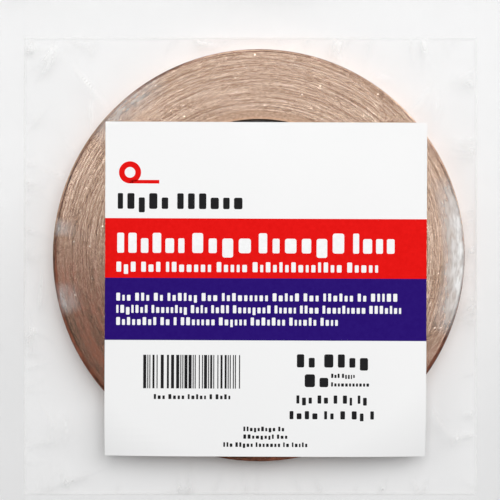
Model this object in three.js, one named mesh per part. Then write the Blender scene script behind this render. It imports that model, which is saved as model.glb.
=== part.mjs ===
// Copper foil tape for stained glass work: a wound roll on a paperboard core, heat-sealed in a clear
// flat pouch with a paper label stuck to its front.
//
// Millimetres. The roll lies flat. +Z is the roll's axis and points out of the labelled face, +Y is the
// top of the label, and the origin is on the roll's axis at the underside of the pouch.
import * as THREE from "three";
import { ParametricGeometry } from "three/addons/geometries/ParametricGeometry.js";

const INCH = 25.4;
const TURN = 2 * Math.PI;

// ---- Tape and core -------------------------------------------------------------------------------
const TAPE_WIDTH = INCH / 4;
const TAPE_LENGTH = 33000;
const FOIL_THICKNESS = 0.031;
const ADHESIVE_THICKNESS = 0.025;
const LINER_THICKNESS = 0.108;
const TAPE_THICKNESS = FOIL_THICKNESS + ADHESIVE_THICKNESS + LINER_THICKNESS;

const CORE_BORE_RADIUS = (3 * INCH) / 2;
const CORE_WALL = 2.4;
const CORE_PLY = 0.3; // the smooth paper on the inside and on the outside of the board
const CORE_RADIUS = CORE_BORE_RADIUS + CORE_WALL;

// The wound tape fills the ring between the core and the rim: length x thickness is its area.
const ROLL_RADIUS = Math.sqrt(CORE_RADIUS ** 2 + (TAPE_LENGTH * TAPE_THICKNESS) / Math.PI);
const PACK_RADIUS = ROLL_RADIUS - 2 * TAPE_THICKNESS; // under the outermost turn

const PLY_GAP = 0.05; // between rings that lie on each other
const LAYER_GAP = 0.004; // between the layers of the outermost turn
const TAIL_DIRECTION = -TURN / 8; // where the tape's free end is
const TAIL_SPRING = 0.25; // how far the free end stands off the roll
const TAIL_SWEEP = TURN / 30; // the stretch that stands off
const TURN_SEGMENTS = 90;

// ---- Pouch ---------------------------------------------------------------------------------------
const FILM = 0.12;
const SEAL_DEPTH = 0.08; // the fused layer between the two films
const SEAL_GAP = 0.02;
const POUCH = { left: -75.4, right: 70.6, bottom: -71.6, top: 74.4 };
const POCKET = { left: -67, right: 62.2, bottom: -68.4, top: 62 };
const RIM_CLEARANCE = 0.7; // between the roll's rim and the film that falls away from it
const FACE_CLEARANCE = 0.2; // between the roll's faces and the films
const TENT_STEPS = 4; // stations on the film's slope, from the rim down to the seal
const TENT_SAG = 0.35; // how far the slope hangs in, as a share of its height
const FILM_SEGMENTS = 96; // a multiple of 8, so that the corners are hit

// ---- Label ---------------------------------------------------------------------------------------
const LABEL = { x: 1.9, y: -9.6, width: 90, height: 93.6, turn: -0.004 };
const LABEL_PAPER = 0.1;
const LABEL_ADHESIVE = 0.03;
const LABEL_GAP = 0.02;
const LABEL_SUPPORT = 1; // how far the flat of the film reaches past the label

// ---- Heights -------------------------------------------------------------------------------------
const SEAL_Z = FILM + SEAL_GAP;
const FLANGE_Z = SEAL_Z + SEAL_DEPTH + SEAL_GAP;
const ROLL_Z = FILM + FACE_CLEARANCE;
const ROLL_TOP = ROLL_Z + TAPE_WIDTH;
const TENT_Z = ROLL_TOP + FACE_CLEARANCE;
const LABEL_Z = TENT_Z + FILM + LABEL_GAP;

const MATERIALS = {
  coreBoard: material(0xb39b80, 0.9, 0),
  corePaper: material(0xd9cfbe, 0.8, 0),
  tapeEdge: material(0xb08d78, 0.45, 0.5),
  foil: material(0xc47a52, 0.3, 1),
  adhesive: material(0xd8d4c8, 0.4, 0),
  liner: material(0xc9ae8c, 0.75, 0),
  film: material(0xf4f6f7, 0.12, 0, 0.2),
  seal: material(0xeef1f2, 0.3, 0, 0.35),
  labelPaper: material(0xf4f4f4, 0.55, 0),
  labelAdhesive: material(0xe9e6dc, 0.5, 0),
};

function material(color, roughness, metalness, opacity = 1) {
  return new THREE.MeshStandardMaterial({
    color,
    roughness,
    metalness,
    opacity,
    transparent: opacity < 1,
  });
}

function named(name, geometry, meshMaterial) {
  const mesh = new THREE.Mesh(geometry, meshMaterial);
  mesh.name = name;
  return mesh;
}

// ---- Shapes --------------------------------------------------------------------------------------

// A flat-ended ring round the Z axis, from z = 0 to the tape's width.
function ring(inner, outer) {
  const profile = [
    [inner, 0],
    [outer, 0],
    [outer, TAPE_WIDTH],
    [inner, TAPE_WIDTH],
    [inner, 0],
  ].map(([r, z]) => new THREE.Vector2(r, z));
  return new THREE.LatheGeometry(profile, TURN_SEGMENTS).rotateX(TURN / 4);
}

// How far the outermost turn stands off the roll: nothing, until the free end springs away.
function tailSpring(sweep) {
  const share = Math.max(0, 1 - (TURN - sweep) / TAIL_SWEEP);
  return TAIL_SPRING * share * share;
}

// One layer of the outermost turn: a band that climbs by one tape thickness in a whole turn.
// depth is how far the layer's inner face is from the turn's inner face.
function turnLayer(depth, thickness) {
  const endGap = TAPE_THICKNESS / ROLL_RADIUS;
  const point = (step, offset) => {
    const sweep = endGap + ((TURN - 2 * endGap) * step) / TURN_SEGMENTS;
    const climb = TAPE_THICKNESS * (sweep / TURN - 1);
    const radius = ROLL_RADIUS - TAPE_THICKNESS + climb + tailSpring(sweep) + offset;
    const angle = TAIL_DIRECTION + sweep;
    return new THREE.Vector2(radius * Math.cos(angle), radius * Math.sin(angle));
  };
  const steps = Array.from({ length: TURN_SEGMENTS + 1 }, (_, i) => i);
  const outside = steps.map((i) => point(i, depth + thickness - LAYER_GAP));
  const inside = steps.map((i) => point(i, depth)).reverse();
  const outline = new THREE.Shape([...outside, ...inside]);
  return new THREE.ExtrudeGeometry(outline, { depth: TAPE_WIDTH, bevelEnabled: false });
}

// The point a share of the way round a rectangle's edge, from the middle of its right side.
function roundRectangle({ left, right, bottom, top }, share) {
  const eighths = share * 8;
  const corner = (value) => Math.min(1, Math.max(-1, value));
  const wave = (phase) => corner(2 - Math.abs(((eighths + phase) % 8) - 4));
  return new THREE.Vector2(
    (left + right) / 2 + (wave(4) * (right - left)) / 2,
    (bottom + top) / 2 + (wave(2) * (top - bottom)) / 2,
  );
}

// The edge of the film's flat top: round the roll, and out to the label's corners.
function flatEdge(share) {
  const angle = TURN * share;
  const way = new THREE.Vector2(Math.cos(angle), Math.sin(angle));
  const circle = ROLL_RADIUS + TAIL_SPRING + RIM_CLEARANCE;
  const reach = (component, centre, half) =>
    component === 0 ? Infinity : (centre + Math.sign(component) * half) / component;
  const labelEdge = Math.min(
    reach(way.x, LABEL.x, LABEL.width / 2 + LABEL_SUPPORT),
    reach(way.y, LABEL.y, LABEL.height / 2 + LABEL_SUPPORT),
  );
  return way.multiplyScalar(Math.max(circle, labelEdge));
}

// The front film: a flat top over the roll and label, slopes down to the seal, and a flange.
// Stations run from the middle of the lower face to the edge and back along the upper face.
function frontFilm() {
  const slope = Array.from({ length: TENT_STEPS + 1 }, (_, i) => i / TENT_STEPS);
  const drop = TENT_Z - FLANGE_Z;
  const face = [
    () => [new THREE.Vector2(0, 0), TENT_Z],
    ...slope.map((t) => (share) => {
      const flat = flatEdge(share);
      const way = flat.clone().lerp(roundRectangle(POCKET, share), t);
      const room = Math.min(1, (way.distanceTo(flat) / drop) * (1 - t));
      return [way, TENT_Z - drop * (t + TENT_SAG * t * (1 - t) * room)];
    }),
    (share) => [roundRectangle(POUCH, share), FLANGE_Z],
  ];
  const stations = [...face.map((at) => [at, 0]), ...face.map((at) => [at, FILM]).reverse()];
  const surface = (share, v, target) => {
    const [at, lift] = stations[Math.round(v * (stations.length - 1))];
    const [place, z] = at(share % 1);
    target.set(place.x, place.y, z + lift);
  };
  return new ParametricGeometry(surface, FILM_SEGMENTS, stations.length - 1);
}

function plate({ left, right, bottom, top }, z, thickness) {
  return new THREE.BoxGeometry(right - left, top - bottom, thickness).translate(
    (left + right) / 2,
    (bottom + top) / 2,
    z + thickness / 2,
  );
}

// ---- The object ----------------------------------------------------------------------------------

function makeRoll() {
  const roll = new THREE.Group();
  roll.position.z = ROLL_Z;
  const boardInner = CORE_BORE_RADIUS + CORE_PLY;
  const boardOuter = CORE_RADIUS - CORE_PLY;
  roll.add(
    named("core_inner_ply", ring(CORE_BORE_RADIUS, boardInner), MATERIALS.corePaper),
    named("core_board", ring(boardInner + PLY_GAP, boardOuter - PLY_GAP), MATERIALS.coreBoard),
    named("core_outer_ply", ring(boardOuter, CORE_RADIUS), MATERIALS.corePaper),
    named("wound_tape", ring(CORE_RADIUS + PLY_GAP, PACK_RADIUS - PLY_GAP), MATERIALS.tapeEdge),
  );
  const layers = [
    ["outer_turn_liner", LINER_THICKNESS, MATERIALS.liner],
    ["outer_turn_adhesive", ADHESIVE_THICKNESS, MATERIALS.adhesive],
    ["outer_turn_foil", FOIL_THICKNESS, MATERIALS.foil],
  ];
  let depth = 0;
  for (const [name, thickness, layerMaterial] of layers) {
    roll.add(named(name, turnLayer(depth, thickness), layerMaterial));
    depth += thickness;
  }
  return roll;
}

function makeSeals() {
  const { left, right, bottom, top } = POUCH;
  const strips = {
    seal_left: { left, right: POCKET.left, bottom, top },
    seal_right: { left: POCKET.right, right, bottom, top },
    seal_bottom: {
      left: POCKET.left + SEAL_GAP,
      right: POCKET.right - SEAL_GAP,
      bottom,
      top: POCKET.bottom,
    },
    seal_top: {
      left: POCKET.left + SEAL_GAP,
      right: POCKET.right - SEAL_GAP,
      bottom: POCKET.top,
      top,
    },
  };
  return Object.entries(strips).map(([name, strip]) =>
    named(name, plate(strip, SEAL_Z, SEAL_DEPTH), MATERIALS.seal),
  );
}

function makePouch() {
  const pouch = new THREE.Group();
  pouch.add(
    named("pouch_back_film", plate(POUCH, 0, FILM), MATERIALS.film),
    named("pouch_front_film", frontFilm(), MATERIALS.film),
    ...makeSeals(),
  );
  return pouch;
}

function makeLabel() {
  const label = new THREE.Group();
  label.position.set(LABEL.x, LABEL.y, LABEL_Z);
  label.rotation.z = LABEL.turn;
  const sheet = (z, thickness) =>
    new THREE.BoxGeometry(LABEL.width, LABEL.height, thickness).translate(0, 0, z + thickness / 2);
  label.add(
    named("label_adhesive", sheet(0, LABEL_ADHESIVE), MATERIALS.labelAdhesive),
    named("label_paper", sheet(LABEL_ADHESIVE + LABEL_GAP, LABEL_PAPER), MATERIALS.labelPaper),
  );
  return label;
}

const part = new THREE.Group();
part.add(makePouch(), makeRoll(), makeLabel());

export default part;
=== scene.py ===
"""Looks for the copper foil tape roll in its clear pouch.

Metres, in the row frame: the roll's axis is Z, the label faces +Z and its top is towards +Y. The tape
is wound turn by turn, the front film is settled over the roll by a small cloth relaxation, and the
label's print is thin ink lying on the paper. Words and marks are stand-ins that can't be read.
"""

import math
import random

import bpy
import numpy as np
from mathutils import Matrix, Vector


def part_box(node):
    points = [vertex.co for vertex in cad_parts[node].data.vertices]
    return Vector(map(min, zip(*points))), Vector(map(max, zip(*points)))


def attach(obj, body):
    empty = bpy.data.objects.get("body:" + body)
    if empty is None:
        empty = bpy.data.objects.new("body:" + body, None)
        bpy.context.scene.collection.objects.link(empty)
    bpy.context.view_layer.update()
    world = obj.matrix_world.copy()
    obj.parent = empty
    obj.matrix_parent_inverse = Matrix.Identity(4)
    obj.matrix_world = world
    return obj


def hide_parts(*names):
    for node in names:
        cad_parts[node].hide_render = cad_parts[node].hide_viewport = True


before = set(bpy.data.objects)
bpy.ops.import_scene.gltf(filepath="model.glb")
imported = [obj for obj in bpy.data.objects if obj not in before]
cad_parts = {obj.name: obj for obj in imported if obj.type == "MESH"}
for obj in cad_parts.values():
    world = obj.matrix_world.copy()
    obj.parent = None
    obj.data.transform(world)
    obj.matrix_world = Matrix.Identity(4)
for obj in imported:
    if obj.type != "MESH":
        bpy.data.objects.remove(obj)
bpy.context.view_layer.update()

MM = 0.001
FULL_TURN = 2 * math.pi

# ---- Places, from the frame ----------------------------------------------------------------------
ROLL_LOW, ROLL_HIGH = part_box("wound_tape")
CORE_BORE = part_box("core_inner_ply")[1][1]
CORE_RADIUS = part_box("core_outer_ply")[1][1]
LINING = CORE_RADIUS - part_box("core_board")[1][1]  # both paper plies of the core are this thick
BOARD_RADIUS = CORE_RADIUS - LINING
ROLL_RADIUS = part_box("outer_turn_foil")[1][1]
ROLL_Z = ROLL_LOW[2]
ROLL_TOP = ROLL_HIGH[2]

POUCH_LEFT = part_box("pouch_back_film")[0][0]
POCKET_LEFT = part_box("seal_left")[1][0]
POCKET_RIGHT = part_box("seal_right")[0][0]
POCKET_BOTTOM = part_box("seal_bottom")[1][1]
POCKET_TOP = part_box("seal_top")[0][1]
POCKET_WIDTH = POCKET_RIGHT - POCKET_LEFT
POCKET_HEIGHT = POCKET_TOP - POCKET_BOTTOM
LABEL_LOW, LABEL_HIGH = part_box("label_paper")

# ---- Tape ----------------------------------------------------------------------------------------
LINER = 0.108 * MM
ADHESIVE = 0.025 * MM
FOIL = 0.031 * MM
PITCH = LINER + ADHESIVE + FOIL
LAYER_GAP = 0.002 * MM
TURNS = (ROLL_RADIUS - CORE_RADIUS) / PITCH
STATIONS_PER_TURN = 120
TAIL_ANGLE = -FULL_TURN / 8  # where the tape's free end lies
TAIL_SPRING = 0.2 * MM  # how far the free end stands off the roll
TAIL_SWEEP = 1 / 30  # of a turn
SLOW_WANDER = 0.045 * MM  # how far the turns sit higher or lower than each other
SLOW_KNOTS = 0.6  # how often in a turn that changes
QUICK_WANDER = 0.02 * MM
QUICK_KNOTS = 4.5
RIM_DROP = 0.35 * MM  # how far the pressed outer turns have sunk at the rim
RIM_REACH = 1.4 * MM  # how wide the sunk stretch is

# ---- Core ----------------------------------------------------------------------------------------
CORE_SHORT = 0.05 * MM  # how much lower the core's end is than the tape's face
BOARD_PLIES = 7
PLY_RIDGE = 0.04 * MM  # how far the middle of a ply stands up at the cut end
PLY_UNEVEN = 0.03 * MM  # how far the plies' ends differ in height
CUT_FUZZ = 0.012 * MM
CORE_SEGMENTS = 240
LINING_LIP = 0.22 * MM  # how far the lining's torn upper edge leans into the bore

# ---- Pouch ---------------------------------------------------------------------------------------
FILM = 0.12 * MM
BACK_Z = FILM / 2
SEAL_TOP = 0.30 * MM  # both films and the bond between them
FACE_Z = ROLL_TOP + 0.26 * MM  # the front film where it lies over the roll
SHOULDER = 1.2 * MM  # how tightly the film bends over the roll's edge
EDGE_CURL = 0.5 * MM  # how far the pouch's free edge lifts off the bench
EDGE_GLOSS = 0.3  # how much more the film mirrors when it is seen edge on
SHEEN_BAND = 7 * MM  # how far inside the rim the painted white sheen on the film reaches
SHEEN_PATCHES = (  # patches of painted white sheen on the film: where, how far round to each side, and how strongly
    (0.0, 0.42, 0.9),
    (FULL_TURN * 0.365, 0.25, 0.35),
    (FULL_TURN * 0.478, 0.05, 0.3),
    (FULL_TURN * 0.535, 0.09, 0.3),
)

# ---- Label ---------------------------------------------------------------------------------------
LABEL_TURN = -0.004
LABEL_WIDTH = (LABEL_HIGH[0] - LABEL_LOW[0]) - (LABEL_HIGH[1] - LABEL_LOW[1]) * abs(LABEL_TURN)
LABEL_HEIGHT = (LABEL_HIGH[1] - LABEL_LOW[1]) - (LABEL_HIGH[0] - LABEL_LOW[0]) * abs(LABEL_TURN)
LABEL_X = (LABEL_LOW[0] + LABEL_HIGH[0]) / 2
LABEL_Y = (LABEL_LOW[1] + LABEL_HIGH[1]) / 2
PAPER = 0.1 * MM
PAPER_LIFT = FILM / 2 + 0.03 * MM  # from the middle of the film to the underside of the paper
CORNER_DROOP = 1.5 * MM  # how far the label bends down where it reaches past the roll
DROOP_REACH = 14 * MM
BORE_DIP = 0.18 * MM  # how far the label's top edge dips into the core's bore
DIP_REACH = 6 * MM
PAPER_WAVE = 0.05 * MM  # how far the film and the label rise and fall over the roll
PAPER_STEP = 2 * MM  # of the grid with which the paper follows the film
GLUE = 0.026 * MM
GLUE_INSET = 0.3 * MM  # how far inside the paper's edge the adhesive ends
GLUE_STEP = 3.9 * MM
INK = 0.012 * MM

# ---- View ----------------------------------------------------------------------------------------
VIEW_WIDTH = 140.1 * MM  # what the picture shows across, at the height of the roll's top
VIEW_CENTRE = (-2.5 * MM, 1.42 * MM)
CAMERA_HEIGHT = 340 * MM
SENSOR = 36
BENCH_HALF = 3.0  # half the side of the bench


# ---- Meshes --------------------------------------------------------------------------------------


def solid(name, points, faces, material, smooth=False):
    """A new object from points and faces."""
    mesh = bpy.data.meshes.new(name)
    mesh.from_pydata([tuple(p) for p in points], [], [tuple(f) for f in faces])
    mesh.materials.append(material)
    if smooth:
        mesh.shade_smooth()
    mesh.update()
    piece = bpy.data.objects.new(name, mesh)
    bpy.context.scene.collection.objects.link(piece)
    return piece


def grid_faces(rows, columns, first=0, flip=False):
    """Quads between neighbouring points of a grid that is stored row by row."""
    r, c = np.mgrid[0 : rows - 1, 0 : columns - 1]
    corner = (first + r * columns + c).ravel()
    quads = np.stack([corner, corner + 1, corner + columns + 1, corner + columns], axis=1)
    return quads[:, ::-1] if flip else quads


def loop_faces(stations, around):
    """Quads of a tube of stations, each with the same number of points around it."""
    s, k = np.mgrid[0 : stations - 1, 0:around]
    here = (s * around + k).ravel()
    beside = (s * around + (k + 1) % around).ravel()
    return np.stack([here, beside, beside + around, here + around], axis=1)


def smooth_noise(seed, count, knots):
    """count values along a line that drift between random knots, about -1 to 1."""
    values = np.random.default_rng(seed).uniform(-1, 1, knots + 1)
    place = np.linspace(0, knots, count)
    before = np.minimum(place.astype(int), knots - 1)
    share = place - before
    share = share * share * (3 - 2 * share)
    return values[before] * (1 - share) + values[before + 1] * share


# ---- Shader helpers ------------------------------------------------------------------------------


def new_material(name):
    """An empty node material and its output's surface socket."""
    material = bpy.data.materials.new(name)
    material.use_nodes = True
    nodes = material.node_tree.nodes
    nodes.clear()
    return material, nodes.new("ShaderNodeOutputMaterial").inputs["Surface"]


def node(tree, kind, settings=None, **inputs):
    """A node with its settings made and its inputs set or linked. Underscores stand for spaces."""
    made = tree.nodes.new(kind)
    for key, value in (settings or {}).items():
        setattr(made, key, value)
    for key, value in inputs.items():
        feed(tree, made.inputs[key.replace("_", " ")], value)
    return made


def feed(tree, socket, value):
    """Links or sets one input."""
    if isinstance(value, bpy.types.NodeSocket):
        tree.links.new(value, socket)
    else:
        socket.default_value = value


def maths(tree, operation, *values):
    """A Math node's result."""
    made = tree.nodes.new("ShaderNodeMath")
    made.operation = operation
    for socket, value in zip(made.inputs, values):
        feed(tree, socket, value)
    return made.outputs[0]


def place(tree):
    """Where the point is on the piece."""
    return tree.nodes.new("ShaderNodeTexCoord").outputs["Object"]


def noise(tree, vector, scale, detail=3.0, roughness=0.55):
    """Fractal noise from 0 to 1."""
    made = node(tree, "ShaderNodeTexNoise", Vector=vector, Scale=scale, Detail=detail, Roughness=roughness)
    return made.outputs["Fac"]


def ramp(tree, value, low, high, start=0.0, end=1.0):
    """value mapped from low..high to start..end, and kept in it."""
    made = node(tree, "ShaderNodeMapRange", {"clamp": True}, Value=value)
    for socket, number in (("From Min", low), ("From Max", high), ("To Min", start), ("To Max", end)):
        made.inputs[socket].default_value = number
    return made.outputs["Result"]


def blend(tree, share, first, second):
    """A colour between first and second."""
    made = tree.nodes.new("ShaderNodeMix")
    made.data_type = "RGBA"
    feed(tree, made.inputs[0], share)
    for socket, colour in ((made.inputs[6], first), (made.inputs[7], second)):
        feed(tree, socket, colour if isinstance(colour, bpy.types.NodeSocket) else (*colour, 1.0))
    return made.outputs[2]


def bump(tree, height, distance, strength=1.0):
    """The normal of a surface with small relief; distance is the relief's depth in metres."""
    return node(tree, "ShaderNodeBump", Height=height, Distance=distance, Strength=strength).outputs[0]


def bearing(tree):
    """The direction of the point from the roll's axis, as x and y of length 1, how far off it is, and
    its height."""
    x, y, z = node(tree, "ShaderNodeSeparateXYZ", Vector=place(tree)).outputs
    radius = maths(tree, "SQRT", maths(tree, "MULTIPLY_ADD", x, x, maths(tree, "MULTIPLY", y, y)))
    return maths(tree, "DIVIDE", x, radius), maths(tree, "DIVIDE", y, radius), radius, z


def polar(tree, around, radial):
    """Coordinates for marks that run round the roll's axis: around sets how many fit round it, and
    radial how many fit in a metre outwards or upwards."""
    east, north, radius, height = bearing(tree)
    joined = node(
        tree,
        "ShaderNodeCombineXYZ",
        X=maths(tree, "MULTIPLY", east, around),
        Y=maths(tree, "MULTIPLY", north, around),
        Z=maths(tree, "MULTIPLY", maths(tree, "ADD", radius, height), radial),
    )
    return joined.outputs[0]


# ---- Materials -----------------------------------------------------------------------------------


def winding_streaks(tree):
    """Fine broken marks along the turns, from 0 to 1: short ones, longer and thinner ones, and a
    faint unevenness between wider rings."""
    short = noise(tree, polar(tree, 36.0, 2400.0), 1.0, 0.0)
    long = noise(tree, polar(tree, 4.0, 2700.0), 1.0, 0.0)
    rings = noise(tree, polar(tree, 1.0, 1200.0), 1.0, 1.0)
    fine = maths(tree, "MULTIPLY_ADD", short, 0.75, long)
    return ramp(tree, maths(tree, "MULTIPLY_ADD", rings, 0.7, fine), 0.82, 1.62)


def foil_material():
    """Rolled copper, streaked along the tape. Its slit edge is paler and has burrs that catch the
    light."""
    material, surface = new_material("copper_foil")
    tree = material.node_tree
    streaks = winding_streaks(tree)
    glints = ramp(tree, noise(tree, place(tree), 3200.0, 2.0), 0.68, 0.75)
    edge = blend(tree, streaks, (0.80, 0.52, 0.34), (1.0, 0.93, 0.77))
    face = blend(tree, streaks, (0.72, 0.38, 0.23), (0.93, 0.56, 0.38))
    normal = tree.nodes.new("ShaderNodeNewGeometry").outputs["Normal"]
    facing_up = maths(tree, "ABSOLUTE", node(tree, "ShaderNodeSeparateXYZ", Vector=normal).outputs["Z"])
    copper = blend(tree, facing_up, face, edge)
    shader = node(
        tree,
        "ShaderNodeBsdfPrincipled",
        Base_Color=blend(tree, glints, copper, (0.98, 0.84, 0.72)),
        Roughness=ramp(tree, maths(tree, "ADD", streaks, glints), 0.0, 1.2, 0.26, 0.1),
        Metallic=1.0,
        Normal=bump(tree, streaks, 0.02 * MM, 0.2),
    )
    tree.links.new(shader.outputs[0], surface)
    return material


def liner_material():
    """The kraft release paper between the turns, mottled and slightly fuzzy at its slit edge, with a
    few bright crumbs of copper on it."""
    material, surface = new_material("liner_paper")
    tree = material.node_tree
    fibres = noise(tree, place(tree), 1800.0, 3.0)
    share = ramp(tree, maths(tree, "MULTIPLY_ADD", fibres, 0.4, winding_streaks(tree)), 0.25, 1.15)
    swarf = ramp(tree, noise(tree, place(tree), 1300.0, 0.0), 0.835, 0.855)
    kraft = blend(tree, share, (0.010, 0.003, 0.002), (0.29, 0.076, 0.035))
    shader = node(
        tree,
        "ShaderNodeBsdfPrincipled",
        Base_Color=blend(tree, swarf, kraft, (1.0, 0.88, 0.74)),
        Metallic=swarf,
        Roughness=maths(tree, "MULTIPLY_ADD", swarf, -0.5, ramp(tree, fibres, 0.3, 0.7, 0.65, 0.85)),
        Normal=bump(tree, fibres, 0.03 * MM, 0.6),
        Specular_IOR_Level=0.12,
    )
    tree.links.new(shader.outputs[0], surface)
    return material


def adhesive_material(name, dark, light):
    """Clear acrylic adhesive, which takes the tone of what it sticks to: slightly lumpy, with a wet
    gloss that comes and goes."""
    material, surface = new_material(name)
    tree = material.node_tree
    lumps = noise(tree, place(tree), 900.0, 3.0)
    shader = node(
        tree,
        "ShaderNodeBsdfPrincipled",
        Base_Color=blend(tree, lumps, dark, light),
        Roughness=ramp(tree, lumps, 0.3, 0.7, 0.18, 0.5),
        Normal=bump(tree, lumps, 0.01 * MM, 0.5),
    )
    tree.links.new(shader.outputs[0], surface)
    return material


def board_material(name, dark, light, fuzz):
    """Paper or board of the core: short fibres, specks and a soft mottle."""
    material, surface = new_material(name)
    tree = material.node_tree
    fibres = noise(tree, polar(tree, 40.0, 2200.0), 1.0, 5.0, 0.7)
    specks = ramp(tree, noise(tree, place(tree), 1400.0, 2.0), 0.66, 0.74)
    plain = blend(tree, ramp(tree, fibres, 0.3, 0.7), dark, light)
    shader = node(
        tree,
        "ShaderNodeBsdfPrincipled",
        Base_Color=blend(tree, specks, plain, tuple(0.55 * c for c in dark)),
        Roughness=ramp(tree, fibres, 0.3, 0.7, 0.75, 0.95),
        Normal=bump(tree, fibres, fuzz, 0.8),
        Specular_IOR_Level=0.1,
    )
    tree.links.new(shader.outputs[0], surface)
    return material


def painted_rim_sheen(tree):
    """How strongly a white sheen is painted onto the film just inside the roll's rim, from 0 to 1, in
    streaks that run round the roll's axis. It is a painted highlight that stands in for the film's
    reflection there."""
    east, north, radius, _ = bearing(tree)
    inside = ramp(tree, radius, ROLL_RADIUS - SHEEN_BAND, ROLL_RADIUS - 0.3 * SHEEN_BAND)
    outside = ramp(tree, radius, ROLL_RADIUS - 0.15 * SHEEN_BAND, ROLL_RADIUS, 1.0, 0.0)
    share = 0.0
    for direction, spread, strength in SHEEN_PATCHES:
        toward = maths(tree, "MULTIPLY", east, math.cos(direction))
        toward = maths(tree, "MULTIPLY_ADD", north, math.sin(direction), toward)
        near = ramp(tree, toward, math.cos(spread), math.cos(0.25 * spread))
        share = maths(tree, "MULTIPLY_ADD", near, strength, share)
    # streaks of the painted sheen, along the turns
    sheen_streaks = ramp(tree, noise(tree, polar(tree, 16.0, 1100.0), 1.0, 2.0), 0.3, 0.65, 0.45, 1.0)
    band = maths(tree, "MULTIPLY", inside, outside)
    return maths(tree, "MULTIPLY", band, maths(tree, "MULTIPLY", share, sheen_streaks))


def film_material(name, clearness, haze_low, haze_high, relief, mirror, whitened_and_sheened=False):
    """Clear film: the scene shows through it, a little milky in patches, with a painted white sheen just
    inside the roll's rim and white folds that are partly a painted highlight, under a soft reflection that
    grows towards the edge of sight."""
    material, surface = new_material(name)
    tree = material.node_tree
    clouds = noise(tree, place(tree), 38.0, 4.0, 0.6)
    creases = noise(tree, place(tree), 210.0, 5.0, 0.6)
    normal = bump(tree, creases, relief, 0.6)
    clear = node(tree, "ShaderNodeBsdfTransparent", Color=(clearness, clearness, clearness, 1.0))
    milk = node(tree, "ShaderNodeBsdfTranslucent", Color=(0.98, 0.98, 0.98, 1.0), Normal=normal)
    body = node(tree, "ShaderNodeMixShader", Fac=ramp(tree, clouds, 0.3, 0.7, haze_low, haze_high))
    tree.links.new(clear.outputs[0], body.inputs[1])
    tree.links.new(milk.outputs[0], body.inputs[2])
    # The matt white layer is a painted sheen just inside the roll's rim, standing in for the film's
    # reflection; on the folds it is partly the crease's own whitening and partly a painted highlight.
    if whitened_and_sheened:
        white_and_painted_sheen = node(tree, "ShaderNodeBsdfDiffuse", Color=(0.95, 0.95, 0.94, 1.0), Normal=normal)
        clean = body
        folds = node(tree, "ShaderNodeAttribute", {"attribute_name": "milk"}).outputs["Fac"]
        body = node(tree, "ShaderNodeMixShader", Fac=maths(tree, "MAXIMUM", painted_rim_sheen(tree), folds))
        tree.links.new(clean.outputs[0], body.inputs[1])
        tree.links.new(white_and_painted_sheen.outputs[0], body.inputs[2])
    gloss = node(
        tree,
        "ShaderNodeBsdfGlossy",
        Color=(1.0, 1.0, 1.0, 1.0),
        Roughness=ramp(tree, clouds, 0.3, 0.7, 0.14, 0.24),
        Normal=normal,
    )
    facing = node(tree, "ShaderNodeLayerWeight", Blend=0.5, Normal=normal).outputs["Facing"]
    share = maths(tree, "MULTIPLY_ADD", maths(tree, "POWER", facing, 4.0), EDGE_GLOSS, mirror)
    whole = node(tree, "ShaderNodeMixShader", Fac=share)
    tree.links.new(body.outputs[0], whole.inputs[1])
    tree.links.new(gloss.outputs[0], whole.inputs[2])
    tree.links.new(whole.outputs[0], surface)
    return material


def paper_material():
    """The label's coated white paper."""
    material, surface = new_material("label_paper")
    tree = material.node_tree
    fibres = noise(tree, place(tree), 700.0, 5.0, 0.6)
    tone = noise(tree, place(tree), 30.0, 2.0)
    shader = node(
        tree,
        "ShaderNodeBsdfPrincipled",
        Base_Color=blend(tree, tone, (0.86, 0.86, 0.86), (0.90, 0.90, 0.895)),
        Roughness=ramp(tree, fibres, 0.3, 0.7, 0.42, 0.56),
        Normal=bump(tree, fibres, 0.006 * MM, 0.4),
    )
    tree.links.new(shader.outputs[0], surface)
    return material


def ink_material(name, colour):
    """Printing ink, very slightly mottled where the paper takes it unevenly."""
    material, surface = new_material(name)
    tree = material.node_tree
    mottle = noise(tree, place(tree), 900.0, 4.0, 0.65)
    thin = tuple(min(1.0, c * 1.1 + 0.004) for c in colour)
    shader = node(
        tree,
        "ShaderNodeBsdfPrincipled",
        Base_Color=blend(tree, ramp(tree, mottle, 0.35, 0.75), colour, thin),
        Roughness=ramp(tree, mottle, 0.3, 0.7, 0.5, 0.62),
        Normal=bump(tree, mottle, 0.003 * MM, 0.3),
        Specular_IOR_Level=0.05,
    )
    tree.links.new(shader.outputs[0], surface)
    return material


def bench_material():
    """The pale surface the pack lies on."""
    material, surface = new_material("bench")
    tree = material.node_tree
    grain = noise(tree, place(tree), 45.0, 4.0)
    shader = node(
        tree,
        "ShaderNodeBsdfPrincipled",
        Base_Color=blend(tree, grain, (0.82, 0.82, 0.82), (0.85, 0.85, 0.85)),
        Roughness=0.7,
        Normal=bump(tree, grain, 0.05 * MM, 0.2),
    )
    tree.links.new(shader.outputs[0], surface)
    return material


# ---- The roll ------------------------------------------------------------------------------------


def wander(turns):
    """How much higher than the roll's face the tape sits, along its length. It never stays level,
    so the wound face shows rings that stand out and fade away again."""
    count = len(turns)
    slow = smooth_noise(11, count, int(turns[-1] * SLOW_KNOTS))
    quick = smooth_noise(12, count, int(turns[-1] * QUICK_KNOTS))
    return slow * SLOW_WANDER + quick * QUICK_WANDER


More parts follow.
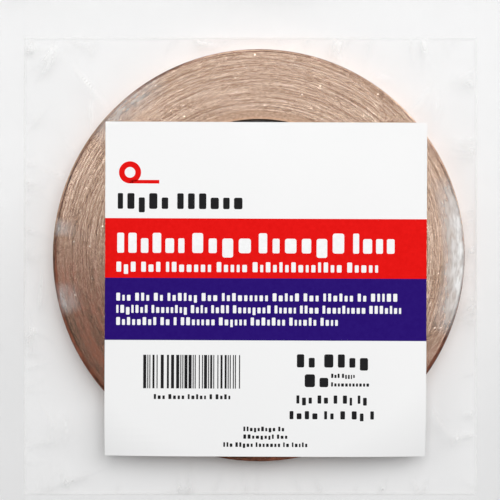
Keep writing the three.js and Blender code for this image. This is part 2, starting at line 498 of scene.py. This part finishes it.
def wind(name, inner, outer, material):
    """One layer of the tape as a closed strip, from the core to the free end. inner and outer say
    where the layer lies in the thickness of the tape."""
    count = int(TURNS * STATIONS_PER_TURN)
    turns = TURNS - np.arange(count)[::-1] / STATIONS_PER_TURN
    angle = TAIL_ANGLE + FULL_TURN * (turns - TURNS)
    loose = np.maximum(0, 1 - (TURNS - turns) / TAIL_SWEEP)
    radius = CORE_RADIUS + PITCH * (turns - 1) + TAIL_SPRING * loose**2
    lift = wander(turns)
    points = np.empty((count, 4, 3))
    for k, (depth, top) in enumerate(((inner, 0), (outer, 0), (outer, 1), (inner, 1))):
        points[:, k, 0] = (radius + depth) * np.cos(angle)
        points[:, k, 1] = (radius + depth) * np.sin(angle)
        sink = RIM_DROP * np.maximum(0, (radius + depth - ROLL_RADIUS) / RIM_REACH + 1) ** 2
        points[:, k, 2] = (ROLL_TOP - sink if top else ROLL_Z + sink) + lift
    faces = [tuple(f) for f in loop_faces(count, 4)[:, ::-1]]
    last = 4 * (count - 1)
    faces += [(0, 1, 2, 3), (last + 3, last + 2, last + 1, last)]
    return solid(name, points.reshape(-1, 3), faces, material)


def turned(name, inner, outer, plies, material, seed, lip=0.0):
    """A ring of the core. Its cut ends show the plies as low ridges, a little uneven. lip is how far
    the torn upper edge leans into the bore."""
    draw = np.random.default_rng(seed)
    steps = np.linspace(inner, outer, 4 * plies + 1)
    ridge = PLY_RIDGE * np.abs(np.sin(np.linspace(0, plies * math.pi, len(steps))))
    ply_height = np.repeat(draw.uniform(-PLY_UNEVEN, PLY_UNEVEN, plies), 4)
    relief = ridge + np.append(ply_height, ply_height[-1])
    radii = np.concatenate([steps, steps[::-1]])
    radii[-1] -= lip
    heights = np.concatenate([ROLL_Z + CORE_SHORT - relief, (ROLL_TOP - CORE_SHORT + relief)[::-1]])
    fuzz = draw.uniform(-CUT_FUZZ, CUT_FUZZ, (CORE_SEGMENTS, len(radii)))
    angle = np.arange(CORE_SEGMENTS)[:, None] * FULL_TURN / CORE_SEGMENTS
    ring = np.stack([radii * np.cos(angle), radii * np.sin(angle), heights + fuzz], axis=2)
    around = len(radii)
    s, k = np.mgrid[0:CORE_SEGMENTS, 0:around]
    ahead = (s + 1) % CORE_SEGMENTS
    aside = (k + 1) % around
    faces = np.stack(
        [
            (s * around + k).ravel(),
            (ahead * around + k).ravel(),
            (ahead * around + aside).ravel(),
            (s * around + aside).ravel(),
        ],
        axis=1,
    )
    return solid(name, ring.reshape(-1, 3), faces, material)


def make_roll():
    """The wound tape and its core, which turn together in the pouch."""
    lining = board_material("core_lining", (0.50, 0.28, 0.17), (0.74, 0.51, 0.37), 0.02 * MM)
    wrap = board_material("core_wrap", (0.34, 0.19, 0.12), (0.66, 0.45, 0.32), 0.02 * MM)
    board = board_material("core_board", (0.36, 0.21, 0.14), (0.70, 0.50, 0.37), 0.05 * MM)
    tacky = adhesive_material("tape_adhesive", (0.09, 0.030, 0.018), (0.24, 0.098, 0.055))
    liner = wind("tape_liner", 0, LINER - LAYER_GAP, liner_material())
    glue = wind("tape_adhesive", LINER, LINER + ADHESIVE - LAYER_GAP, tacky)
    copper = wind("tape_foil", LINER + ADHESIVE, PITCH - LAYER_GAP, foil_material())
    inner = turned("core_lining", CORE_BORE, CORE_BORE + LINING, 1, lining, 21, LINING_LIP)
    middle = turned("core_chipboard", CORE_BORE + LINING, BOARD_RADIUS, BOARD_PLIES, board, 22)
    outer = turned("core_wrap", BOARD_RADIUS, CORE_RADIUS, 1, wrap, 23)
    pieces = [
        (liner, "liner_paper", ["wound_tape", "outer_turn_liner"]),
        (glue, "adhesive", ["outer_turn_adhesive"]),
        (copper, "copper_foil", ["outer_turn_foil"]),
        (inner, "core_paper", ["core_inner_ply"]),
        (middle, "core_board", ["core_board"]),
        (outer, "core_paper", ["core_outer_ply"]),
    ]
    for piece, slot, nodes in pieces:
        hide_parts(*nodes)
        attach(piece, "roll")


# ---- The label's place ---------------------------------------------------------------------------


def face_height(x, y):
    """Height of the film under the label: flat over the roll, with a slight wave and a dip at the
    bore's upper edge, and bending down towards the corners that reach past the rim."""
    past = np.maximum(0, np.hypot(x, y) - ROLL_RADIUS) / DROOP_REACH
    wave = PAPER_WAVE * (1 + np.sin(x * 61 + 0.7) * np.sin(y * 47 + 1.9))
    inside = np.clip((CORE_BORE - np.hypot(x, y)) / MM, 0, 1)
    dip = BORE_DIP * inside * np.exp(-(x**2 + (y - CORE_BORE) ** 2) / DIP_REACH**2)
    return FACE_Z + wave - dip - CORNER_DROOP * past**2


def on_label(right, down, lift=0.0):
    """The point that far right of and below the label's top left corner, on or above its paper."""
    across = np.asarray(right) - LABEL_WIDTH / 2
    up = LABEL_HEIGHT / 2 - np.asarray(down)
    x = LABEL_X + across * math.cos(LABEL_TURN) - up * math.sin(LABEL_TURN)
    y = LABEL_Y + across * math.sin(LABEL_TURN) + up * math.cos(LABEL_TURN)
    return np.stack([x, y, face_height(x, y) + PAPER_LIFT + lift], axis=-1)


def under_label(x, y, margin=0.0):
    """Whether a point of the film has the label on it."""
    across = (x - LABEL_X) * math.cos(LABEL_TURN) + (y - LABEL_Y) * math.sin(LABEL_TURN)
    up = (y - LABEL_Y) * math.cos(LABEL_TURN) - (x - LABEL_X) * math.sin(LABEL_TURN)
    return (abs(across) < LABEL_WIDTH / 2 + margin) & (abs(up) < LABEL_HEIGHT / 2 + margin)


# ---- The pouch -----------------------------------------------------------------------------------

RIBS = 9  # across a seal
RIB_DEPTH = 0.01 * MM
RIB_STEPS = 8 * RIBS + 1
LENGTH_STEPS = 121
BACK_STEPS = 65  # points along a side of the back film

RUFFLE = 1.5 * MM  # random lift before the first settling, which the wrinkles grow from
FILM_SLACK = 1.024  # the film is this much longer than the bench under it
SLACK_START = 25  # points along a side of the first, coarse settling
SAG = 0.002  # how far the film sinks in one round, as a share of its grid
SLACK_LEVELS = 3  # how often the grid is then made twice as fine
SLACK_ROUNDS = 320  # of the coarse settling; each finer grid gets half as many
CREASES = 90  # loose folds anywhere
PUCKERS = 80  # and folds that run in from the seals
CREASE_HEIGHT = (0.1 * MM, 0.4 * MM)
CREASE_LENGTH = (2 * MM, 7 * MM)
CREASE_WIDTH = (0.5 * MM, 0.9 * MM)
CREASE_FADE = 1.5 * MM  # how far from the seals and the label a fold reaches its height
CREASE_TAUT = 0.08  # the share of its height that is left over the roll
FOLD_WHITE_AND_SHEEN = 0.4  # how white the highest fold is made: the crease's own whitening, and partly a painted highlight for the light the fold catches
SEAL_MILK = 0.22  # how milky the film is right at the seal
SEAL_LINE = 0.8 * MM  # how wide that milky line is
PUCKER_TURN = 0.5  # how far a pucker turns from square to its seal, in radians


def past_pocket(x, y):
    """How far a point lies outside the pocket, on the sealed border."""
    aside = np.maximum(POCKET_LEFT - x, x - POCKET_RIGHT)
    along = np.maximum(POCKET_BOTTOM - y, y - POCKET_TOP)
    return np.maximum(0, np.maximum(aside, along))


def border_lift(x, y):
    """How far the sealed border curls up from the bench: nothing at the pocket, most at the edge."""
    share = past_pocket(x, y) / (POCKET_LEFT - POUCH_LEFT)
    wave = 0.55 + 0.25 * np.sin(x * 83 + 1.0) + 0.2 * np.sin(y * 71 + 2.6) * np.cos(x * 39)
    return EDGE_CURL * wave * share**2


# Which neighbours hold each point of the film, as rows and columns away, and how firmly: along the
# grid, across it, and further off, which makes the film bend stiffly.
SPRINGS = (
    (1, 0, 1.0),
    (0, 1, 1.0),
    (1, 1, 0.6),
    (1, -1, 0.6),
    (2, 0, 0.5),
    (0, 2, 0.5),
    (4, 0, 0.3),
    (0, 4, 0.3),
    (3, 3, 0.2),
    (3, -3, 0.2),
)


def pairs(size, rows, columns):
    """Pairs of grid points that lie rows and columns apart, in two halves that share no point."""
    r, c = np.mgrid[0 : size - rows, max(0, -columns) : size - max(0, columns)]
    near = (r * size + c).ravel()
    far = near + rows * size + columns
    half = ((r // rows) if rows else (c // columns)).ravel() % 2
    return [(near[half == k], far[half == k]) for k in (0, 1)]


def keep_clear(points):
    """Lifts film points out of the roll, round its edge, and off the back film."""
    radius = np.hypot(points[:, 0], points[:, 1])
    past = np.maximum(0, radius - ROLL_RADIUS)
    shoulder = FACE_Z - past**2 / (2 * SHOULDER) - np.where(radius < CORE_BORE, BORE_DIP, 0)
    points[:, 2] = np.maximum(points[:, 2], np.maximum(shoulder, SEAL_TOP))


def settle(points, held, size, rounds):
    """Lets the film sink round the roll: it keeps its own lengths, bends stiffly, and stays put where
    it is sealed or stuck to the label."""
    wide = POCKET_WIDTH / (size - 1)
    high = POCKET_HEIGHT / (size - 1)
    fixed = points[held].copy()
    springs = []
    for rows, columns, pull in SPRINGS:
        length = FILM_SLACK * math.hypot(rows * high, columns * wide)
        springs += [(near, far, length, pull) for near, far in pairs(size, rows, columns)]
    for _ in range(rounds):
        points[:, 2] -= SAG * wide
        for near, far, length, pull in springs:
            gap = points[far] - points[near]
            reach = np.linalg.norm(gap, axis=1)
            shift = (0.5 * pull * (1 - length / reach))[:, None] * gap
            points[near] += shift
            points[far] -= shift
        keep_clear(points)
        points[held] = fixed


def finer(points, size):
    """The same surface on a grid twice as fine."""
    grid = points.reshape(size, size, 3)
    twice = np.empty((2 * size - 1, 2 * size - 1, 3))
    twice[::2, ::2] = grid
    twice[1::2, ::2] = (grid[1:] + grid[:-1]) / 2
    twice[:, 1::2] = (twice[:, 2::2] + twice[:, :-2:2]) / 2
    return twice.reshape(-1, 3)


def pocket_grid(size):
    """The x and y of a grid of points over the pocket, row by row."""
    y, x = np.meshgrid(
        np.linspace(POCKET_BOTTOM, POCKET_TOP, size),
        np.linspace(POCKET_LEFT, POCKET_RIGHT, size),
        indexing="ij",
    )
    return x.ravel(), y.ravel()


def from_seal(x, y):
    """How far inside the pocket a point lies."""
    return np.minimum.reduce([x - POCKET_LEFT, POCKET_RIGHT - x, y - POCKET_BOTTOM, POCKET_TOP - y])


def fold(x, y, middle, angle, draw):
    """The lift of one short sharp fold of the film."""
    along = (x - middle[0]) * math.cos(angle) + (y - middle[1]) * math.sin(angle)
    across = (y - middle[1]) * math.cos(angle) - (x - middle[0]) * math.sin(angle)
    ridge = np.exp(-abs(across) / draw.uniform(*CREASE_WIDTH))
    height = draw.uniform(*CREASE_HEIGHT)
    return height * ridge * np.exp(-((along / draw.uniform(*CREASE_LENGTH)) ** 2))


def creases(x, y, draw):
    """Folds scattered over the film and puckers along its seals. They fade out at the seals, at the
    label and where the film is taut over the roll."""
    lift = np.zeros(x.size)
    for _ in range(CREASES):
        middle = (draw.uniform(POCKET_LEFT, POCKET_RIGHT), draw.uniform(POCKET_BOTTOM, POCKET_TOP))
        lift += fold(x, y, middle, draw.uniform(0, math.pi), draw)
    for _ in range(PUCKERS):
        share = draw.uniform()
        upright = draw.integers(2)
        if upright:
            seal = draw.choice([POCKET_BOTTOM, POCKET_TOP])
            middle = (POCKET_LEFT + share * POCKET_WIDTH, seal)
        else:
            seal = draw.choice([POCKET_LEFT, POCKET_RIGHT])
            middle = (seal, POCKET_BOTTOM + share * POCKET_HEIGHT)
        angle = upright * math.pi / 2 + draw.uniform(-PUCKER_TURN, PUCKER_TURN)
        lift += fold(x, y, middle, angle, draw)
    lift[under_label(x, y, CREASE_FADE)] = 0
    taut = np.clip((np.hypot(x, y) - ROLL_RADIUS) / CREASE_FADE, CREASE_TAUT, 1)
    return lift * taut * np.clip(from_seal(x, y) / CREASE_FADE, 0, 1)


def settled_film():
    """The front film's points, how white each one is made (fold tops, partly a painted highlight, and the
    milky line at the seals), and the number of points along a side.
    """
    draw = np.random.default_rng(5)
    size = SLACK_START
    x, y = pocket_grid(size)
    points = np.stack([x, y, np.full(x.size, FACE_Z)], axis=1)
    for level in range(SLACK_LEVELS + 1):
        if level:
            points = finer(points, size)
            size = 2 * size - 1
            x, y = pocket_grid(size)
        sealed = np.ones((size, size), bool)
        sealed[1:-1, 1:-1] = False
        sealed = sealed.ravel()
        stuck = under_label(x, y)
        points[sealed] = np.stack([x, y, np.full(x.size, SEAL_TOP)], axis=1)[sealed]
        points[stuck] = np.stack([x, y, face_height(x, y)], axis=1)[stuck]
        held = sealed | stuck
        points[~held, 2] += draw.uniform(0, RUFFLE, (~held).sum()) / 4**level
        settle(points, held, size, SLACK_ROUNDS // 2**level)
    x, y = points[:, 0], points[:, 1]
    lift = creases(x, y, draw)
    # Fold tops are made white: partly the crease's whitening, partly a painted highlight on the fold.
    fold_white_and_sheen = FOLD_WHITE_AND_SHEEN * np.minimum(1, lift / CREASE_HEIGHT[1])
    pressed = SEAL_MILK * np.clip(1 - from_seal(x, y) / SEAL_LINE, 0, 1)
    points[:, 2] += lift
    return points, np.maximum(fold_white_and_sheen, pressed), size


def make_film(name, points, size, material):
    """A film as one sheet of quads."""
    return solid(name, points, grid_faces(size, size), material, smooth=True)


def make_seal(name, node_name, material):
    """The band where the two films are fused, embossed with fine ribs by the sealing bar."""
    low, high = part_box(node_name)
    wide, tall = high[0] - low[0], high[1] - low[1]
    rows, columns = (RIB_STEPS, LENGTH_STEPS) if wide > tall else (LENGTH_STEPS, RIB_STEPS)
    y, x = np.meshgrid(
        np.linspace(low[1], high[1], rows),
        np.linspace(low[0], high[0], columns),
        indexing="ij",
    )
    share = (y - low[1]) / tall if wide > tall else (x - low[0]) / wide
    ribs = RIB_DEPTH * np.sin(share * RIBS * FULL_TURN)
    top = np.stack([x, y, SEAL_TOP + border_lift(x, y) + ribs], axis=2).reshape(-1, 3)
    bottom = np.stack([x, y, BACK_Z + border_lift(x, y)], axis=2).reshape(-1, 3)
    faces = np.concatenate(
        [grid_faces(rows, columns), grid_faces(rows, columns, rows * columns, flip=True)]
    )
    rim = border(rows, columns)
    walls = [(b, a, a + rows * columns, b + rows * columns) for a, b in zip(rim, np.roll(rim, -1))]
    return solid(name, np.concatenate([top, bottom]), [*faces, *walls], material)


def border(rows, columns):
    """The grid's outline, anticlockwise."""
    index = np.arange(rows * columns).reshape(rows, columns)
    return np.concatenate([index[0, :-1], index[:-1, -1], index[-1, :0:-1], index[:0:-1, 0]])


def make_pouch():
    """Two clear films and the four sealed borders."""
    # the front film gets the painted rim sheen and the white fold tops
    film = film_material("front_film", 0.998, 0.003, 0.014, 0.02 * MM, 0.004, whitened_and_sheened=True)
    plain = film_material("back_film", 0.998, 0.005, 0.02, 0.02 * MM, 0.01)
    sealed = film_material("seal", 0.988, 0.02, 0.05, 0.015 * MM, 0.02)
    points, milk, size = settled_film()
    front = make_film("front_film", points, size, film)
    # The milk attribute holds the white fold tops, partly a painted highlight, and the milky line at the
    # seals.
    front.data.attributes.new("milk", "FLOAT", "POINT").data.foreach_set("value", milk)
    x, y = pocket_grid(BACK_STEPS)
    flat = np.stack([x, y, np.full(x.size, BACK_Z)], axis=1)
    back = make_film("back_film", flat, BACK_STEPS, plain)
    pieces = [(front, "film", "pouch_front_film"), (back, "film", "pouch_back_film")]
    for edge in ("left", "right", "bottom", "top"):
        pieces.append((make_seal(f"sealed_{edge}", f"seal_{edge}", sealed), "seal", f"seal_{edge}"))
    for piece, slot, node_name in pieces:
        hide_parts(node_name)
        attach(piece, "pouch")
    return front, back


# ---- The label -----------------------------------------------------------------------------------

# Millimetres on the label, from its top left corner.
BAND_TOP = 27.0
BAND_MIDDLE = 43.7
BAND_BOTTOM = 61.1
MARGIN = 3.2
BODY_TOP = 47.9
BODY_PITCH = 3.4
BODY_HEIGHT = 2.2
MARK_X = 6.9
MARK_Y = 14.2
MARK_HOLE = 1.5
MARK_RADIUS = 3.1
MARK_TAIL = 8.2  # how far the loose end reaches from the ring's middle
MARK_TAPE = 1.0  # how thick the loose end is
PRINT_STEP = 2.0  # the grid of a printed area
BAR_STEP = 20.0  # and of a bar, which is one quad

CORNER_STEPS = 3  # of a block's rounded corner
HOOP_STEPS = 40
LETTER_WIDTHS = (0.7, 1.25)
LETTER_GAP = 0.38  # the share of a line that is gaps
WORD_SPACE = 2.1  # gaps between two words
CAPITALS = 0.25  # the share of the letters inside a word that are as tall as a capital
TAILS = 0.12  # and of the others, the share that reach below the line
SMALL = 0.27  # how much lower a small letter is, as a share of a capital
TAIL = 0.22  # how far a tail reaches down
BAR_MODULES = 95  # the bar pattern's width in its thinnest bars
BAR_WIDTHS = (1, 1, 2, 3)


def slab(name, inset, low, high, step, material):
    """A thin sheet with the label's outline, from low to high above the paper's underside, as a grid
    of about step."""
    columns = round(LABEL_WIDTH / step) + 1
    rows = round(LABEL_HEIGHT / step) + 1
    down, right = np.meshgrid(
        np.linspace(inset, LABEL_HEIGHT - inset, rows),
        np.linspace(inset, LABEL_WIDTH - inset, columns),
        indexing="ij",
    )
    top = on_label(right, down, high).reshape(-1, 3)
    bottom = on_label(right, down, low).reshape(-1, 3)
    faces = np.concatenate(
        [grid_faces(rows, columns, flip=True), grid_faces(rows, columns, rows * columns)]
    )
    rim = border(rows, columns)
    walls = [(a, b, b + rows * columns, a + rows * columns) for a, b in zip(rim, np.roll(rim, -1))]
    return solid(name, np.concatenate([top, bottom]), [*faces, *walls], material)


def panel(left, top, right, bottom, step=PRINT_STEP):
    """A printed area, as a grid fine enough to follow the paper. Millimetres on the label."""
    columns = max(2, math.ceil((right - left) / step) + 1)
    rows = max(2, math.ceil((bottom - top) / step) + 1)
    y, x = np.meshgrid(np.linspace(top, bottom, rows), np.linspace(left, right, columns), indexing="ij")
    return np.stack([x.ravel(), y.ravel()], axis=1), grid_faces(rows, columns, flip=True)


def block(left, top, right, bottom):
    """A small printed rectangle with rounded corners. Millimetres on the label."""
    radius = 0.2 * min(right - left, bottom - top)
    outline = []
    corners = ((right, bottom, 0), (left, bottom, 1), (left, top, 2), (right, top, 3))
    for x, y, quarter in corners:
        middle_x = x + (radius if x == left else -radius)
        middle_y = y + (radius if y == top else -radius)
        for step in range(CORNER_STEPS + 1):
            angle = (quarter + step / CORNER_STEPS) * FULL_TURN / 4
            outline.append((middle_x + radius * math.cos(angle), middle_y + radius * math.sin(angle)))
    return np.array(outline), [tuple(range(len(outline)))[::-1]]


def hoop(x, y, inner, outer):
    """A printed ring. Millimetres on the label."""
    angle = FULL_TURN * np.linspace(0, 1, HOOP_STEPS + 1)
    rings = [np.stack([x + r * np.cos(angle), y + r * np.sin(angle)], axis=1) for r in (inner, outer)]
    return np.concatenate(rings), grid_faces(2, HOOP_STEPS + 1, flip=True)


def words(left, right, top, bottom, draw, letters):
    """A line of blocks with the rhythm of a line of words. letters is how many there are in each
    word; top and bottom are the height of a capital."""
    height = bottom - top
    widths = [[draw.uniform(*LETTER_WIDTHS) for _ in range(count)] for count in letters]
    total = sum(sum(word) for word in widths)
    gap = LETTER_GAP * (right - left) / sum(letters)
    space = WORD_SPACE * gap
    room = right - left - gap * (sum(letters) - len(letters)) - space * (len(letters) - 1)
    shapes = []
    x = left
    for word in widths:
        for place_in_word, share in enumerate(word):
            wide = room * share / total
            tall = place_in_word == 0 or draw.random() < CAPITALS
            deep = not tall and draw.random() < TAILS
            upper = top if tall else top + SMALL * height
            lower = bottom + TAIL * height if deep else bottom
            shapes.append(block(x, upper, x + wide, lower))
            x += wide + gap
        x += space - gap
    return shapes


def bars(left, right, top, bottom, draw):
    """A row of bars and gaps of random width."""
    module = (right - left) / BAR_MODULES
    shapes = []
    x = left
    while x < right:
        wide = module * draw.choice(BAR_WIDTHS)
        shapes.append(panel(x, top, min(x + wide, right), bottom, BAR_STEP))
        x += wide + module * draw.choice(BAR_WIDTHS)
    return shapes


def printed(name, shapes, lift, material):
    """The shapes of one ink, lying on the paper."""
    points, faces = [], []
    for outline, polygons in shapes:
        first = len(points)
        points.extend(on_label(outline[:, 0] * MM, outline[:, 1] * MM, PAPER + lift))
        faces.extend([first + k for k in polygon] for polygon in polygons)
    return solid(name, points, faces, material)


def red_shapes():
    """The upper band, and a roll of tape as the mark."""
    foot = MARK_Y + MARK_RADIUS
    return [
        panel(0, BAND_TOP, LABEL_WIDTH / MM, BAND_MIDDLE),
        hoop(MARK_X, MARK_Y, MARK_HOLE, MARK_RADIUS),
        panel(MARK_X, foot - MARK_TAPE, MARK_X + MARK_TAIL, foot),
    ]


def white_shapes(draw):
    """The words left white in the two bands."""
    headline = ((3.4, 22.2, 6), (24.4, 40.8, 4), (43.0, 66.9, 6), (69.4, 81.0, 4))
    shapes = []
    for left, right, count in headline:
        shapes += words(left, right, 31.1, 36.7, draw, (count,))
    shapes += words(MARGIN, 76.4, 39.2, 42.0, draw, (3, 3, 7, 5, 14, 5))
    body = (
        (81.8, (3, 3, 2, 6, 3, 9, 5, 3, 6, 2, 5)),
        (82.9, (7, 8, 4, 4, 8, 5, 4, 9, 7)),
        (65.2, (8, 2, 1, 7, 6, 7, 6, 4)),
    )
    for row, (right, letters) in enumerate(body):
        top = BODY_TOP + BODY_PITCH * row
        shapes += words(MARGIN, right, top, top + BODY_HEIGHT, draw, letters)
    return shapes


def black_shapes(draw):
    """The words and the bar pattern on the white paper."""
    shapes = words(3.5, 38.4, 20.0, 24.4, draw, (5, 6))
    shapes += bars(10.8, 38.2, 65.2, 74.6, draw)
    lines = (
        (13.8, 35.2, 76.2, 77.6, (3, 4, 5, 1, 4)),
        (53.8, 73.7, 64.9, 68.6, (2, 4)),
        (56.0, 62.6, 70.5, 74.1, (2,)),
        (63.4, 70.0, 70.3, 71.5, (3, 5)),
        (63.4, 74.0, 72.7, 73.9, (11,)),
        (53.7, 73.4, 76.4, 78.7, (3, 2, 1, 2, 2)),
        (51.8, 75.4, 80.8, 83.1, (4, 2, 1, 2, 1)),
        (38.9, 50.3, 85.2, 86.5, (9, 2)),
        (38.9, 51.2, 87.4, 88.6, (8, 3)),
        (33.3, 56.8, 89.6, 90.9, (3, 5, 7, 2, 5)),
    )
    for left, right, top, bottom, letters in lines:
        shapes += words(left, right, top, bottom, draw, letters)
    return shapes


def make_label():
    """The paper, its adhesive and the print on it."""
    draw = random.Random(3)
    paper = slab("label_sheet", 0, 0, PAPER, PAPER_STEP, paper_material())
    tacky = adhesive_material("label_adhesive", (0.68, 0.67, 0.63), (0.84, 0.83, 0.80))
    glue = slab("label_glue", GLUE_INSET, -GLUE - LAYER_GAP, -LAYER_GAP, GLUE_STEP, tacky)
    violet = [panel(0, BAND_MIDDLE, LABEL_WIDTH / MM, BAND_BOTTOM)]
    prints = [
        printed("print_red", red_shapes(), INK, ink_material("ink_red", (0.75, 0.003, 0.002))),
        printed("print_violet", violet, INK, ink_material("ink_violet", (0.018, 0.002, 0.155))),
        printed("print_white", white_shapes(draw), 2 * INK, ink_material("ink_white", (0.88, 0.88, 0.88))),
        printed("print_black", black_shapes(draw), INK, ink_material("ink_black", (0.012, 0.012, 0.013))),
    ]
    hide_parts("label_paper")
    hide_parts("label_adhesive")
    for piece in (paper, glue, *prints):
        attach(piece, "pouch")


# ---- Camera, bench and light ---------------------------------------------------------------------


def make_camera():
    """Straight above the pack, with the top of the label up."""
    data = bpy.data.cameras.new("camera")
    data.sensor_width = SENSOR
    data.lens = SENSOR * CAMERA_HEIGHT / VIEW_WIDTH
    camera = bpy.data.objects.new("camera", data)
    camera.location = (*VIEW_CENTRE, ROLL_TOP + CAMERA_HEIGHT)
    bpy.context.scene.collection.objects.link(camera)
    bpy.context.scene.camera = camera


def make_bench():
    """A pale flat surface under the pack."""
    corners = [(x * BENCH_HALF, y * BENCH_HALF, 0) for x, y in ((-1, -1), (1, -1), (1, 1), (-1, 1))]
    solid("bench", corners, [(0, 1, 2, 3)], bench_material())


def soft_light(name, size, energy, location):
    """A square light that shines on the pack and isn't seen itself."""
    data = bpy.data.lights.new(name, "AREA")
    data.shape = "SQUARE"
    data.size = size
    data.energy = energy
    light = bpy.data.objects.new(name, data)
    light.location = location
    light.rotation_euler = Vector(location).to_track_quat("Z", "Y").to_euler()
    light.visible_camera = False
    bpy.context.scene.collection.objects.link(light)


def make_light():
    """One big soft light above the upper right, a weak one at each side, and a dim pale room."""
    soft_light("softbox", 1.95, 32.8, (0.24, 0.75, 1.60))
    soft_light("left_fill", 0.6, 1.8, (-0.68, 0.35, 0.45))
    soft_light("right_fill", 0.6, 2.0, (0.68, 0.35, 0.45))
    world = bpy.data.worlds.new("room")
    world.use_nodes = True
    background = world.node_tree.nodes["Background"]
    background.inputs["Color"].default_value = (0.97, 0.98, 1.0, 1.0)
    background.inputs["Strength"].default_value = 0.13
    bpy.context.scene.world = world
    bpy.context.scene.view_settings.view_transform = "Standard"


make_camera()
make_bench()
make_light()
make_roll()
front_film, back_film = make_pouch()
make_label()
